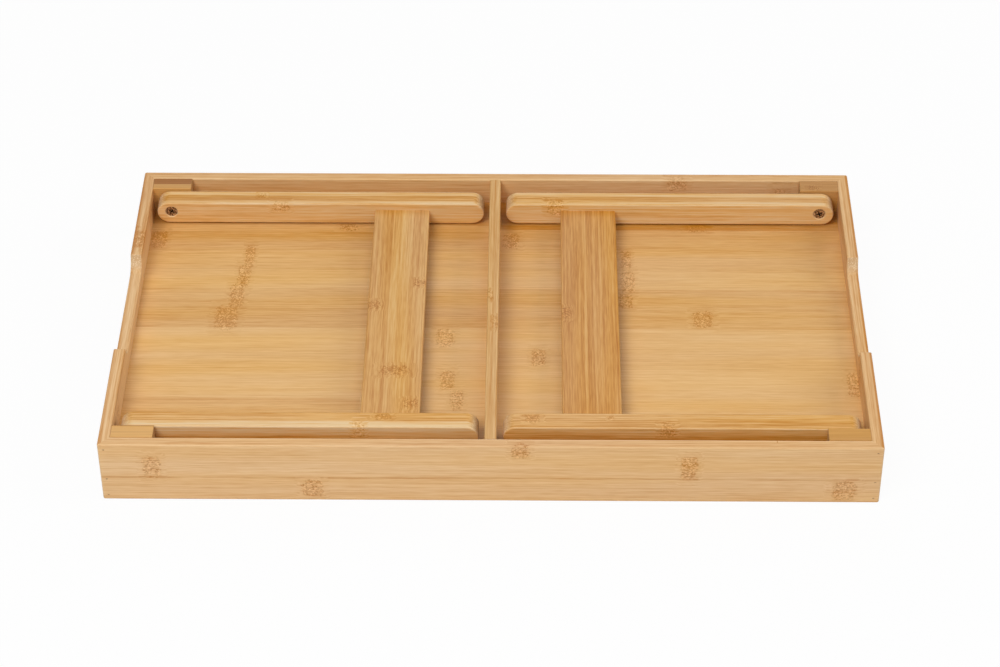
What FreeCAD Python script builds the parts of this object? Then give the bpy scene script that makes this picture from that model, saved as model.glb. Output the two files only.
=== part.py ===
import FreeCAD, Part
import math
import os

import Sketcher

# Folding bamboo bed tray table. It lies as it is stored: upside down on the upper rim of
# the tray, with both leg frames folded flat into the recess of the underside.
# Millimetres. +X runs along the tray, +Y across it, +Z up out of the recess. The origin is
# the middle of the tray on the plane that the rim rests on.

# Driving sizes: alias, value, what it is.
DRIVING_SIZES = (
    ("tray_length", 520.0, "outside length of the mitred frame"),
    ("tray_depth", 300.0, "outside depth of the mitred frame"),
    ("tray_height", 49.0, "height of the frame boards"),
    ("board_thickness", 8.0, "thickness of the four frame boards"),
    ("corner_radius", 1.5, "sanded upright corners of the frame"),
    ("edge_radius", 1.0, "eased edges of boards, divider and crossbars"),
    ("panel_thickness", 6.0, "laminated tray panel"),
    ("groove_depth", 4.0, "groove that holds the panel"),
    ("panel_play", 0.5, "room for the panel to swell at the bottom of the groove"),
    ("rabbet_depth", 1.0, "step along the panel's edge, on the tray side"),
    ("shoulder_gap", 0.2, "shoulder of the rabbet to the frame boards"),
    ("divider_thickness", 8.0, "bar between the two leg frames"),
    ("notch_floor", 80.0, "flat length of a handle notch"),
    ("notch_depth", 10.0, "depth of a handle notch"),
    ("notch_radius", 12.0, "cove at both ends of a handle notch"),
    ("block_length", 28.0, "corner block along the rail"),
    ("block_depth", 12.0, "corner block out from the rail"),
    ("block_edge", 0.5, "eased edges of the corner blocks"),
    ("leg_height", 18.0, "leg seen from the side"),
    ("leg_thickness", 15.0, "leg across"),
    ("leg_edge", 1.2, "rounded edges of the legs"),
    ("leg_rim_gap", 1.5, "folded leg below the rim"),
    ("leg_panel_gap", 1.5, "folded leg above the panel"),
    ("leg_end_gap", 4.0, "leg ends to side wall and divider"),
    ("leg_side_gap", 0.8, "leg to corner block"),
    ("pivot_inset", 10.5, "pivot from the end of the leg"),
    ("pivot_rise", 1.0, "pivot off the middle line of the leg, towards the rim"),
    ("crossbar_width", 40.0, "flat board that joins two legs"),
    ("crossbar_thickness", 7.0, "flat board that joins two legs"),
    ("crossbar_inset", 40.0, "crossbar from the foot end of the legs"),
    ("tenon_shoulder", 4.0, "crossbar edge to tenon edge"),
    ("tenon_cheek", 1.0, "crossbar face to tenon face"),
    ("tenon_length", 6.0, "tenon in the leg"),
    ("glue_gap", 0.1, "tenon in its mortise, all round"),
    ("shank_diameter", 4.0, "pivot screw"),
    ("head_diameter", 8.0, "countersunk head of the pivot screw"),
    ("head_rim", 0.4, "upright edge of the head"),
    ("head_sink", 0.4, "head below the face of the leg"),
    ("screw_length", 25.0, "pivot screw over all"),
    ("screw_tip", 3.0, "pointed end of the pivot screw"),
    ("running_gap", 0.08, "leg on the screw shank and head, all round"),
    ("pilot_gap", 0.02, "screw in its pilot hole, all round"),
    ("pilot_spare", 0.5, "pilot hole beyond the tip of the screw"),
    ("recess_span", 4.4, "cross recess of the screw head"),
    ("recess_width", 1.0, "one slot of the cross recess"),
    ("recess_depth", 1.8, "cross recess of the screw head"),
    ("washer_diameter", 13.0, "washer between leg and corner block"),
    ("washer_thickness", 0.5, "washer between leg and corner block"),
    ("brad_width", 1.3, "flat brad nailed through a mitred corner, across"),
    ("brad_thickness", 1.0, "flat brad nailed through a mitred corner, up"),
    ("brad_length", 20.0, "flat brad nailed through a mitred corner"),
    ("brad_sink", 0.3, "brad below the face of the rail"),
    ("brad_low", 4.0, "height of the lowest brad"),
    ("brad_below_panel", 3.5, "middle brad below the panel"),
    ("brad_below_rim", 4.5, "highest brad below the top of the boards"),
)
RECESS_TAPER = -12.0    # degrees, the cross recess narrows towards its bottom
COUNTERSINK_ANGLE = 90.0    # degrees, so that the head's flank is as deep as it is wide
FULL_TURN = 360.0
ARC_TRIM = 1 - math.sqrt(0.5)    # share of the corner radius cut from a mitre's tip
LEFT, RIGHT = -1, 1
FRONT, BACK = -1, 1
END_NAMES = {FRONT: "front", BACK: "back"}
SIDE_NAMES = {LEFT: "left", RIGHT: "right"}
# Degrees that each screw's cross is turned by when it is driven home.
SCREW_TURNS = {(LEFT, FRONT): 12.0, (LEFT, BACK): 58.0, (RIGHT, FRONT): 33.0, (RIGHT, BACK): 20.0}
NEAR = 1e-4    # two places this close are the same
POINTS_ON_EDGE = 5    # enough to tell where a line or an arc runs
HALF_ROUND = "half round"
START_POINT, END_POINT, CENTRE_POINT = 1, 2, 3    # of a line or an arc in a sketch


class Size:
    """A length with its value and the sheet expression that gives it."""

    def __init__(self, value, text):
        self.value = value
        self.text = text

    @staticmethod
    def of(other):
        return other if isinstance(other, Size) else Size(float(other), repr(float(other)))

    def combine(self, other, sign, value):
        return Size(value, f"({self.text} {sign} {Size.of(other).text})")

    def __add__(self, other):
        return self.combine(other, "+", self.value + Size.of(other).value)

    def __sub__(self, other):
        return self.combine(other, "-", self.value - Size.of(other).value)

    def __mul__(self, other):
        return self.combine(other, "*", self.value * Size.of(other).value)

    def __truediv__(self, other):
        return self.combine(other, "/", self.value / Size.of(other).value)

    def __neg__(self):
        return Size(-self.value, f"(-1 * {self.text})")

    def root(self):
        return Size(math.sqrt(self.value), f"sqrt({self.text})")


# ---------------------------------------------------------------------------
# Document and sheet
# ---------------------------------------------------------------------------

doc = FreeCAD.newDocument("BedTray")
sheet = doc.addObject("Spreadsheet::Sheet", "Sizes")


def driving_size(row, alias, value, note):
    """Write one driving size into the sheet and return it as a Size."""
    sheet.set(f"A{row}", note)
    sheet.set(f"B{row}", str(value))
    sheet.setAlias(f"B{row}", alias)
    return Size(value, f"Sizes.{alias}")


size = {}
for number, (alias, value, note) in enumerate(DRIVING_SIZES, start=1):
    size[alias] = driving_size(number, alias, value, note)
doc.recompute()

# Places that several pieces share, all from the driving sizes.
half_length = size["tray_length"] / 2
half_depth = size["tray_depth"] / 2
inside_x = half_length - size["board_thickness"]
inside_y = half_depth - size["board_thickness"]
underside_recess = size["leg_height"] + size["leg_rim_gap"] + size["leg_panel_gap"]
panel_top = size["tray_height"] - underside_recess
panel_bottom = panel_top - size["panel_thickness"]
tongue_bottom = panel_bottom + size["rabbet_depth"]
leg_middle_z = size["tray_height"] - size["leg_rim_gap"] - size["leg_height"] / 2
pivot_z = leg_middle_z + size["pivot_rise"]
pivot_to_wall = size["leg_end_gap"] + size["pivot_inset"]
pivot_x = inside_x - pivot_to_wall
leg_foot_x = size["divider_thickness"] / 2 + size["leg_end_gap"]
leg_length = inside_x - size["leg_end_gap"] - leg_foot_x
block_face_y = inside_y - size["block_depth"]
leg_outer_y = block_face_y - size["leg_side_gap"]
leg_inner_y = leg_outer_y - size["leg_thickness"]
crossbar_x = leg_foot_x + size["crossbar_inset"] + size["crossbar_width"] / 2
tenon_width = size["crossbar_width"] - size["tenon_shoulder"] * 2
tenon_thickness = size["crossbar_thickness"] - size["tenon_cheek"] * 2
brad_inset = size["board_thickness"] / 2
brad_heights = (
    size["brad_low"],
    panel_bottom - size["brad_below_panel"],
    size["tray_height"] - size["brad_below_rim"],
)


# ---------------------------------------------------------------------------
# Helpers for bodies, sketches and features
# ---------------------------------------------------------------------------

def bind(thing, name, length):
    """Tie a property of a thing to the sheet."""
    thing.setExpression(name, length.text)


def new_body(name):
    body = doc.addObject("PartDesign::Body", name)
    body.Label = name
    return body


def place(thing, x, y, z, rotation=FreeCAD.Rotation()):
    """Put a piece at x, y, z, each a Size or a number, and turn it."""
    spot = [Size.of(value) for value in (x, y, z)]
    thing.Placement = FreeCAD.Placement(FreeCAD.Vector(*[value.value for value in spot]), rotation)
    for axis, value in zip("xyz", spot):
        bind(thing, f"Placement.Base.{axis}", value)


def turned(degrees):
    """A turn about the upright axis."""
    return FreeCAD.Rotation(FreeCAD.Vector(0, 0, 1), degrees)


def origin_plane(body, role):
    """One of the body's own origin planes, such as XY_Plane."""
    return [item for item in body.Origin.OriginFeatures if item.Role == role][0]


def new_sketch(body, name, plane, offset=None):
    """A sketch on one of the body's own origin planes, moved off it by offset if given."""
    sketch = body.newObject("Sketcher::SketchObject", name)
    sketch.AttachmentSupport = [(origin_plane(body, plane), "")]
    sketch.MapMode = "FlatFace"
    if offset is not None:
        bind(sketch, "AttachmentOffset.Base.z", offset)
    return sketch


def lock(sketch, element, point, x, y):
    """Hold one point of a sketch element at x, y from the sketch's origin."""
    for kind, length in (("DistanceX", Size.of(x)), ("DistanceY", Size.of(y))):
        index = sketch.addConstraint(Sketcher.Constraint(kind, -1, 1, element, point, length.value))
        sketch.setExpression(f"Constraints[{index}]", length.text)


def vector(x, y):
    return FreeCAD.Vector(Size.of(x).value, Size.of(y).value, 0)


def arc_between(start, end, radius):
    """The arc that turns counterclockwise from start to end, no more than half round."""
    chord = end - start
    rise = math.sqrt(max(radius ** 2 - (chord.Length / 2) ** 2, 0.0))
    left = FreeCAD.Vector(-chord.y, chord.x, 0).normalize()
    centre = (start + end) * 0.5 + left * rise
    return Part.Arc(start, centre - left * radius, end)


def outline(sketch, corners):
    """Closed outline of corners (x, y), or (x, y, radius) where an arc leads on to the next.

    HALF_ROUND in place of a radius makes a half circle that runs on smoothly from the line
    before it.
    """
    points = [vector(corner[0], corner[1]) for corner in corners]
    first = sketch.GeometryCount
    for index, corner in enumerate(corners):
        start = points[index]
        end = points[(index + 1) % len(points)]
        bend = corner[2] if len(corner) == 3 else None
        if bend is None:
            sketch.addGeometry(Part.LineSegment(start, end), False)
        elif bend is HALF_ROUND:
            sketch.addGeometry(arc_between(start, end, (end - start).Length / 2), False)
        else:
            sketch.addGeometry(arc_between(start, end, bend.value), False)
    for index, corner in enumerate(corners):
        bend = corner[2] if len(corner) == 3 else None
        this = first + index
        before = first + (index - 1) % len(corners)
        joint = "Tangent" if bend is HALF_ROUND else "Coincident"
        sketch.addConstraint(Sketcher.Constraint(joint, before, END_POINT, this, START_POINT))
        lock(sketch, this, START_POINT, corner[0], corner[1])
        if isinstance(bend, Size):
            bent = sketch.addConstraint(Sketcher.Constraint("Radius", this, bend.value))
            sketch.setExpression(f"Constraints[{bent}]", bend.text)


def rectangle(sketch, x_low, x_high, y_low, y_high):
    outline(sketch, [(x_low, y_low), (x_high, y_low), (x_high, y_high), (x_low, y_high)])


def circle(sketch, x, y, radius):
    index = sketch.addGeometry(Part.Circle(vector(x, y), FreeCAD.Vector(0, 0, 1), radius.value), False)
    lock(sketch, index, CENTRE_POINT, x, y)
    bent = sketch.addConstraint(Sketcher.Constraint("Radius", index, radius.value))
    sketch.setExpression(f"Constraints[{bent}]", radius.text)


def finish_feature(body, feature, grows):
    """Recompute, and stop if the feature left the body's volume as it was."""
    before = body.Tip.Shape.Volume if body.Tip and body.Tip != feature else 0.0
    body.Tip = feature
    doc.recompute()
    change = feature.Shape.Volume - before
    if change * (1 if grows else -1) <= NEAR:
        raise RuntimeError(f"{body.Label}: {feature.Label} changed the volume by {change:.4f}")
    return feature


def pad(body, name, sketch, length, reverse=False, both_ways=False):
    feature = body.newObject("PartDesign::Pad", name)
    feature.Profile = sketch
    bind(feature, "Length", length)
    feature.Reversed = reverse
    feature.SideType = "Symmetric" if both_ways else "One side"
    sketch.Visibility = False
    return finish_feature(body, feature, True)


def pocket(body, name, sketch, length, reverse=False, both_ways=False, taper=0.0):
    base = body.Tip
    feature = body.newObject("PartDesign::Pocket", name)
    feature.Profile = sketch
    bind(feature, "Length", length)
    feature.Reversed = reverse
    feature.SideType = "Symmetric" if both_ways else "One side"
    feature.TaperAngle = taper
    sketch.Visibility = False
    body.Tip = base
    return finish_feature(body, feature, False)


def ease(body, name, radius, wanted):
    """Fillet the edges of the body for which wanted(edge) is true."""
    base = body.Tip
    names = [f"Edge{index}" for index, edge in enumerate(base.Shape.Edges, start=1) if wanted(edge)]
    feature = body.newObject("PartDesign::Fillet", name)
    feature.Base = (base, names)
    bind(feature, "Radius", radius)
    body.Tip = base
    return finish_feature(body, feature, False)


def spans(edge):
    """Lowest and highest corner of an edge's box, from points along it."""
    points = edge.discretize(POINTS_ON_EDGE)
    low = FreeCAD.Vector(*[min(getattr(point, axis) for point in points) for axis in "xyz"])
    high = FreeCAD.Vector(*[max(getattr(point, axis) for point in points) for axis in "xyz"])
    return low, high


def same(a, b):
    return abs(a - b) < NEAR


# ---------------------------------------------------------------------------
# Frame: four mitred boards, each drawn with its outer face on y = 0 and y pointing inwards
# ---------------------------------------------------------------------------

def mitred_board(name, length):
    """Pad the plan of a board whose ends are cut at 45 degrees, and groove its inner face."""
    body = new_body(name)
    thickness = size["board_thickness"]
    radius = size["corner_radius"]
    end = length / 2
    trim = radius * ARC_TRIM
    plan = new_sketch(body, name + "_plan", "XY_Plane")
    outline(plan, [
        (-(end - radius), 0), (end - radius, 0, radius), (end - trim, trim),
        (end - thickness, thickness), (-(end - thickness), thickness),
        (-(end - trim), trim, radius),
    ])
    pad(body, name + "_blank", plan, size["tray_height"])
    groove = new_sketch(body, name + "_groove_section", "YZ_Plane")
    rectangle(groove, thickness - size["groove_depth"], thickness, tongue_bottom, panel_top)
    pocket(body, name + "_groove", groove, length, both_ways=True)
    return body


def on_mitre(edge, length):
    """True for an edge that lies in one of the two 45 degree end faces."""
    points = edge.discretize(POINTS_ON_EDGE)
    return all(same(abs(point.x) + point.y, length.value / 2) for point in points)


def rim_edge(edge, length, lowest_z):
    """True for the edges round the top and bottom of a board, above lowest_z or on z = 0."""
    low, high = spans(edge)
    thickness = size["board_thickness"].value
    on_face = same(low.y, high.y) and (same(low.y, 0) or same(low.y, thickness))
    on_corner = same(low.z, high.z) and high.y < size["corner_radius"].value
    at_top = low.z > lowest_z - NEAR
    at_bottom = high.z < NEAR
    if on_mitre(edge, length) or not (at_top or at_bottom):
        return False
    return on_face or on_corner


def brad_outline(sketch, x, z):
    """Outline of the hole of one brad, centred at x, z."""
    half_width = size["brad_width"] / 2 + size["pilot_gap"]
    half_height = size["brad_thickness"] / 2 + size["pilot_gap"]
    rectangle(sketch, x - half_width, x + half_width, z - half_height, z + half_height)


def rail(name, rotation, spot_y):
    """Long board, with the brads' holes through its ends."""
    length = size["tray_length"]
    body = mitred_board(name, length)
    top = size["tray_height"].value
    ease(body, name + "_eased", size["edge_radius"], lambda edge: rim_edge(edge, length, top))
    holes = new_sketch(body, name + "_brad_outlines", "XZ_Plane")
    for x in (brad_inset - half_length, half_length - brad_inset):
        for height in brad_heights:
            brad_outline(holes, x, height)
    pocket(body, name + "_brad_holes", holes, size["board_thickness"])
    place(body, 0, spot_y, 0, turned(rotation))
    return body


def cut_handle_notch(body, name):
    """Scoop the finger notch out of the rim, with a cove at each end."""
    radius = size["notch_radius"]
    depth = size["notch_depth"]
    floor_end = size["notch_floor"] / 2
    run = (radius * depth * 2 - depth * depth).root()
    top = size["tray_height"]
    section = new_sketch(body, name + "_notch_section", "XZ_Plane")
    outline(section, [
        (-floor_end, top - depth), (floor_end, top - depth, radius),
        (floor_end + run, top), (-(floor_end + run), top, radius),
    ])
    pocket(body, name + "_handle_notch", section, size["board_thickness"])


def side_wall(name, rotation, spot_x):
    """Short board with the handle notch, and the brads' holes from its mitred ends."""
    length = size["tray_depth"]
    body = mitred_board(name, length)
    cut_handle_notch(body, name)
    top = size["tray_height"].value
    notch_floor_z = top - size["notch_depth"].value

    def wanted(edge):
        low, high = spans(edge)
        notch_corner = same(low.x, high.x) and same(low.z, high.z) and same(high.z, top)
        return rim_edge(edge, length, notch_floor_z) or notch_corner

    ease(body, name + "_eased", size["edge_radius"], wanted)
    brad_reach = size["brad_length"] + size["brad_sink"] + size["pilot_gap"]
    holes = new_sketch(body, name + "_brad_outlines", "YZ_Plane", half_depth - brad_reach)
    for height in brad_heights:
        brad_outline(holes, brad_inset, height)
    drilled = pocket(body, name + "_brad_holes", holes, brad_reach, reverse=True)
    mirror = body.newObject("PartDesign::Mirrored", name + "_brad_holes_far_end")
    mirror.Originals = [drilled]
    mirror.MirrorPlane = (origin_plane(body, "YZ_Plane"), [""])
    body.Tip = drilled
    finish_feature(body, mirror, False)
    place(body, spot_x, 0, 0, turned(rotation))
    return body


def tray_panel():
    """Laminated panel. A rabbet round its edge leaves a thinner tongue for the four grooves."""
    name = "tray_panel"
    body = new_body(name)
    tongue = size["groove_depth"] - size["panel_play"]
    shoulder_x = inside_x - size["shoulder_gap"]
    shoulder_y = inside_y - size["shoulder_gap"]
    face = new_sketch(body, name + "_face", "XY_Plane")
    rectangle(face, -shoulder_x, shoulder_x, -shoulder_y, shoulder_y)
    pad(body, name + "_board", face, size["panel_thickness"])
    reach_x = inside_x + tongue
    reach_y = inside_y + tongue
    edge = new_sketch(body, name + "_tongue_plan", "XY_Plane", size["rabbet_depth"])
    rectangle(edge, -reach_x, reach_x, -reach_y, reach_y)
    pad(body, name + "_tongue", edge, size["panel_thickness"] - size["rabbet_depth"])
    place(body, 0, 0, panel_bottom)
    return body


def centre_divider():
    """Bar from rail to rail, flush with the rim."""
    name = "centre_divider"
    body = new_body(name)
    half = size["divider_thickness"] / 2
    section = new_sketch(body, name + "_section", "XZ_Plane")
    rectangle(section, -half, half, 0, underside_recess)
    pad(body, name + "_bar", section, inside_y * 2, both_ways=True)
    top = underside_recess.value

    def wanted(edge):
        low, high = spans(edge)
        return same(low.z, top) and same(low.x, high.x)

    ease(body, name + "_eased", size["edge_radius"], wanted)
    place(body, 0, 0, panel_top)
    return body


# ---------------------------------------------------------------------------
# Corner pieces, drawn for the left side with the origin on the pivot axis and x towards the
# foot of the leg. The right side is the same drawing turned half round.
# ---------------------------------------------------------------------------

def corner_turn(side):
    return turned(0 if side == LEFT else 180)


def outwards_is_y(side, end):
    """True where local +Y points out of the tray, so a pad there runs against the sketch."""
    return (end == BACK) == (side == LEFT)


def at_corner(body, side, end, y):
    place(body, pivot_x * side, y * end, pivot_z, corner_turn(side))


def corner_block(side, end):
    """Block glued to rail and side wall, flush with the rim, that the pivot screw bites into."""
    name = f"{END_NAMES[end]}_{SIDE_NAMES[side]}_block"
    body = new_body(name)
    start = -pivot_to_wall
    plan = new_sketch(body, name + "_section", "XZ_Plane")
    rectangle(plan, start, start + size["block_length"],
              panel_top - pivot_z, size["tray_height"] - pivot_z)
    flip = outwards_is_y(side, end)
    pad(body, name + "_body", plan, size["block_depth"], reverse=flip)
    top = (size["tray_height"] - pivot_z).value
    depth = size["block_depth"].value

    def wanted(edge):
        """The two top edges that show: the others lie against the rail and the side wall."""
        low, high = spans(edge)
        against_rail = same(low.y, high.y) and same(abs(low.y), depth)
        against_wall = same(low.x, high.x) and same(low.x, start.value)
        return same(low.z, top) and not against_rail and not against_wall

    ease(body, name + "_eased", size["block_edge"], wanted)
    pilot = new_sketch(body, name + "_pilot_centre", "XZ_Plane")
    circle(pilot, 0, 0, size["shank_diameter"] / 2 + size["pilot_gap"])
    leg_and_gap = size["leg_thickness"] + size["leg_side_gap"]
    reach = size["screw_length"] + size["head_sink"] - leg_and_gap + size["pilot_spare"]
    pocket(body, name + "_pilot", pilot, reach, reverse=not flip)
    at_corner(body, side, end, block_face_y)
    return body


def leg(side, end):
    """Leg with round ends, a countersunk pivot hole and a mortise on its inner face."""
    name = f"{END_NAMES[end]}_{SIDE_NAMES[side]}_leg"
    body = new_body(name)
    flip = outwards_is_y(side, end)
    radius = size["leg_height"] / 2
    low = -(size["pivot_rise"] + radius)
    high = radius - size["pivot_rise"]
    start = radius - size["pivot_inset"]
    stop = leg_length - size["pivot_inset"] - radius
    side_view = new_sketch(body, name + "_side_view", "XZ_Plane")
    outline(side_view, [(start, low), (stop, low, HALF_ROUND), (stop, high), (start, high, HALF_ROUND)])
    pad(body, name + "_bar", side_view, size["leg_thickness"], reverse=flip)

    def wanted(edge):
        near, far = spans(edge)
        return same(near.y, far.y)

    ease(body, name + "_eased", size["leg_edge"], wanted)

    mortise = new_sketch(body, name + "_mortise_outline", "XZ_Plane")
    middle_x = leg_length - size["pivot_inset"] - size["crossbar_inset"] - size["crossbar_width"] / 2
    half_width = tenon_width / 2 + size["glue_gap"]
    half_height = tenon_thickness / 2 + size["glue_gap"]
    rectangle(mortise, middle_x - half_width, middle_x + half_width,
              -(size["pivot_rise"] + half_height), half_height - size["pivot_rise"])
    pocket(body, name + "_mortise", mortise, size["tenon_length"] + size["glue_gap"], reverse=not flip)

    pivot = new_sketch(body, name + "_pivot_centre", "XZ_Plane")
    circle(pivot, 0, 0, size["shank_diameter"] / 2 + size["running_gap"])
    base = body.Tip
    hole = body.newObject("PartDesign::Hole", name + "_pivot_hole")
    hole.Profile = pivot
    doc.recompute()
    hole.ThreadType = "None"
    bind(hole, "Diameter", size["shank_diameter"] + size["running_gap"] * 2)
    hole.DepthType = "ThroughAll"
    hole.HoleCutType = "Countersink"
    hole.HoleCutCustomValues = True
    hole.HoleCutCountersinkAngle = COUNTERSINK_ANGLE
    bind(hole, "HoleCutDiameter",
         size["head_diameter"] + (size["head_sink"] + size["head_rim"] + size["running_gap"]) * 2)
    hole.Reversed = not flip
    pivot.Visibility = False
    body.Tip = base
    finish_feature(body, hole, False)
    at_corner(body, side, end, leg_inner_y)
    return body


def pivot_screw(side, end):
    """Countersunk wood screw with a cross recess: the leg turns on its smooth shank."""
    name = f"{END_NAMES[end]}_{SIDE_NAMES[side]}_pivot_screw"
    body = new_body(name)
    head = size["head_diameter"] / 2
    shank = size["shank_diameter"] / 2
    rim = size["head_rim"]
    length = size["screw_length"]
    profile = new_sketch(body, name + "_profile", "XY_Plane")
    outline(profile, [
        (0, 0), (head, 0), (head, -rim), (shank, shank - head - rim),
        (shank, size["screw_tip"] - length), (0, -length),
    ])
    turning = body.newObject("PartDesign::Revolution", name + "_turned")
    turning.Profile = profile
    turning.ReferenceAxis = (profile, ["V_Axis"])
    turning.Angle = FULL_TURN
    profile.Visibility = False
    finish_feature(body, turning, True)
    slot = size["recess_width"] / 2
    span = size["recess_span"] / 2
    cross = new_sketch(body, name + "_cross", "XZ_Plane")
    outline(cross, [
        (span, -slot), (span, slot), (slot, slot), (slot, span), (-slot, span), (-slot, slot),
        (-span, slot), (-span, -slot), (-slot, -slot), (-slot, -span), (slot, -span), (slot, -slot),
    ])
    pocket(body, name + "_recess", cross, size["recess_depth"], reverse=True, taper=RECESS_TAPER)
    turn = FreeCAD.Rotation(FreeCAD.Vector(0, 1, 0), SCREW_TURNS[side, end])
    facing = turned(0 if end == FRONT else 180)
    place(body, pivot_x * side, (leg_inner_y + size["head_sink"]) * end, pivot_z, facing * turn)
    return body


def washer(side, end):
    """Thin washer on the screw, which keeps the leg off the corner block."""
    name = f"{END_NAMES[end]}_{SIDE_NAMES[side]}_washer"
    body = new_body(name)
    ring = new_sketch(body, name + "_ring", "XZ_Plane")
    circle(ring, 0, 0, size["washer_diameter"] / 2)
    circle(ring, 0, 0, size["shank_diameter"] / 2 + size["running_gap"])
    pad(body, name + "_disc", ring, size["washer_thickness"], reverse=end == BACK)
    place(body, pivot_x * side, (block_face_y - size["washer_thickness"]) * end, pivot_z)
    return body


def crossbar(side):
    """Flat board between the two legs of a frame, with a stub tenon at each end."""
    name = f"{SIDE_NAMES[side]}_crossbar"
    body = new_body(name)
    half_width = size["crossbar_width"] / 2
    half_height = size["crossbar_thickness"] / 2
    section = new_sketch(body, name + "_section", "XZ_Plane")
    rectangle(section, -half_width, half_width, -half_height, half_height)
    pad(body, name + "_board", section, leg_inner_y * 2, both_ways=True)

    def wanted(edge):
        low, high = spans(edge)
        return same(low.x, high.x) and same(low.z, high.z)

    ease(body, name + "_eased", size["edge_radius"], wanted)
    tenon = new_sketch(body, name + "_tenon_section", "XZ_Plane")
    rectangle(tenon, -tenon_width / 2, tenon_width / 2, -tenon_thickness / 2, tenon_thickness / 2)
    pad(body, name + "_tenons", tenon, (leg_inner_y + size["tenon_length"]) * 2, both_ways=True)
    place(body, crossbar_x * side, 0, leg_middle_z)
    return body


def corner_brads():
    """The twelve flat brads of the mitred corners, three to a corner, as one group."""
    brads = []
    for side in (LEFT, RIGHT):
        for end in (FRONT, BACK):
            for height in brad_heights:
                brad = doc.addObject("Part::Box", "brad")
                bind(brad, "Length", size["brad_width"])
                bind(brad, "Width", size["brad_length"])
                bind(brad, "Height", size["brad_thickness"])
                middle_x = (half_length - brad_inset) * side
                head_y = half_depth - size["brad_sink"]
                low_y = -head_y if end == FRONT else head_y - size["brad_length"]
                place(brad, middle_x - size["brad_width"] / 2, low_y,
                      height - size["brad_thickness"] / 2)
                brads.append(brad)
    group = doc.addObject("Part::Compound", "corner_brads")
    group.Label = "corner_brads"
    group.Links = brads
    return group


# ---------------------------------------------------------------------------
# Assembly, checks and files
# ---------------------------------------------------------------------------

def build():
    pieces = [
        rail("front_rail", 0, -half_depth),
        rail("back_rail", 180, half_depth),
        side_wall("left_wall", -90, -half_length),
        side_wall("right_wall", 90, half_length),
        tray_panel(),
        centre_divider(),
        corner_brads(),
    ]
    for side in (LEFT, RIGHT):
        pieces.append(crossbar(side))
        for end in (FRONT, BACK):
            pieces += [make(side, end) for make in (corner_block, leg, washer, pivot_screw)]
    doc.recompute()
    return pieces


def check(pieces):
    """Stop on any failed object and any piece without a sound solid."""
    for item in doc.Objects:
        if {"Invalid", "Error"} & set(item.State):
            raise RuntimeError(f"{item.Label} is in state {item.State}")
    for piece in pieces:
        if piece.Shape.isNull() or not piece.Shape.isValid() or not piece.Shape.Solids:
            raise RuntimeError(f"{piece.Label} has no sound solid")


def stop_angle():
    """Degrees that a leg opens before its flank meets the rounded rim of the side wall.

    The middle of the rim's rounding lies at (across, above) from the pivot. The flank touches
    the rounding when that middle is the rounding's radius outside the flank.
    """
    rounding = size["edge_radius"].value
    across = pivot_to_wall.value + rounding
    above = (size["tray_height"] - pivot_z).value - rounding
    flank = (size["leg_height"] / 2 - size["pivot_rise"]).value
    turn = math.atan2(across, above) + math.acos((flank + rounding) / math.hypot(across, above))
    return math.degrees(turn)


def write(pieces):
    os.makedirs("parts", exist_ok=True)
    for piece in pieces:
        piece.Shape.exportStep(f"parts/{piece.Label}.step")
        print(f"{piece.Label}: {len(piece.Shape.Solids)} solid(s), {piece.Shape.Volume:.1f} mm3")


parts = build()
check(parts)
write(parts)
print(f"the side walls stop the legs at {stop_angle():.1f} degrees")
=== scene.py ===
import logging
import math
from dataclasses import dataclass
from enum import Enum

import bpy
from mathutils import Matrix, Vector

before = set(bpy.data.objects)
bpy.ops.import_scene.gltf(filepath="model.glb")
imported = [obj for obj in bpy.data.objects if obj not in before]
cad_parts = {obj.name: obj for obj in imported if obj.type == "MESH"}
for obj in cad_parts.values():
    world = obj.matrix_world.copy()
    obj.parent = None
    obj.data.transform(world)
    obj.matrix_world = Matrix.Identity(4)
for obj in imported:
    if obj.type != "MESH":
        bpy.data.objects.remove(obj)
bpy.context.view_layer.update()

log = logging.getLogger("bed_tray")

# Sizes are in metres, unless a name ends in _mm or a docstring or comment says millimetres.
MM = 0.001

Tree = bpy.types.NodeTree
Socket = bpy.types.NodeSocket
Point = tuple[float, float, float]
Span = tuple[float, float]

# Spans of the boxes of known strips, in millimetres. FAR is beyond the tray. UNDERSIDE is the
# panel's face that is up. RIM is the rim of the side walls with the floors of the handle
# notches. SLOT_SIDE is the side of the near legs that faces the rail, which painted shade
# darkens towards the bottom.
FAR = 1000.0
EVERYWHERE: Span = (-FAR, FAR)
LEFT_HALF: Span = (-FAR, 0.0)
RIGHT_HALF: Span = (0.0, FAR)
FRONT_FACE: Span = (-FAR, -149.0)
UNDERSIDE: Span = (27.0, FAR)
RIM: Span = (38.0, FAR)
SLOT_SIDE: Span = (-FAR, -128.6)


class Grain(Enum):
    """The way a board's fibres run."""

    ALONG_X = "x"
    ALONG_Y = "y"


class Side(Enum):
    """The two sides of the tray."""

    LEFT = "left"
    RIGHT = "right"


class End(Enum):
    """The near and the far edge of the tray."""

    FRONT = "front"
    BACK = "back"


def corner_names() -> list[str]:
    """Name the tray's four corners as its nodes do, such as front_left."""
    return [f"{end.value}_{side.value}" for end in End for side in Side]


def linear(hex_colour: str) -> tuple[float, float, float, float]:
    """Turn an sRGB colour into the linear values that a shader takes.

    Args:
        hex_colour: Six hexadecimal digits, such as "d9ad74".

    Returns:
        Red, green, blue and an alpha of 1.
    """
    def channel(value: int) -> float:
        """Turn one channel, from 0 to 255, into its linear value."""
        part = value / 255
        return part / 12.92 if part <= 0.04045 else ((part + 0.055) / 1.055) ** 2.4

    return tuple(channel(int(hex_colour[i:i + 2], 16)) for i in (0, 2, 4)) + (1.0,)


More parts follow.
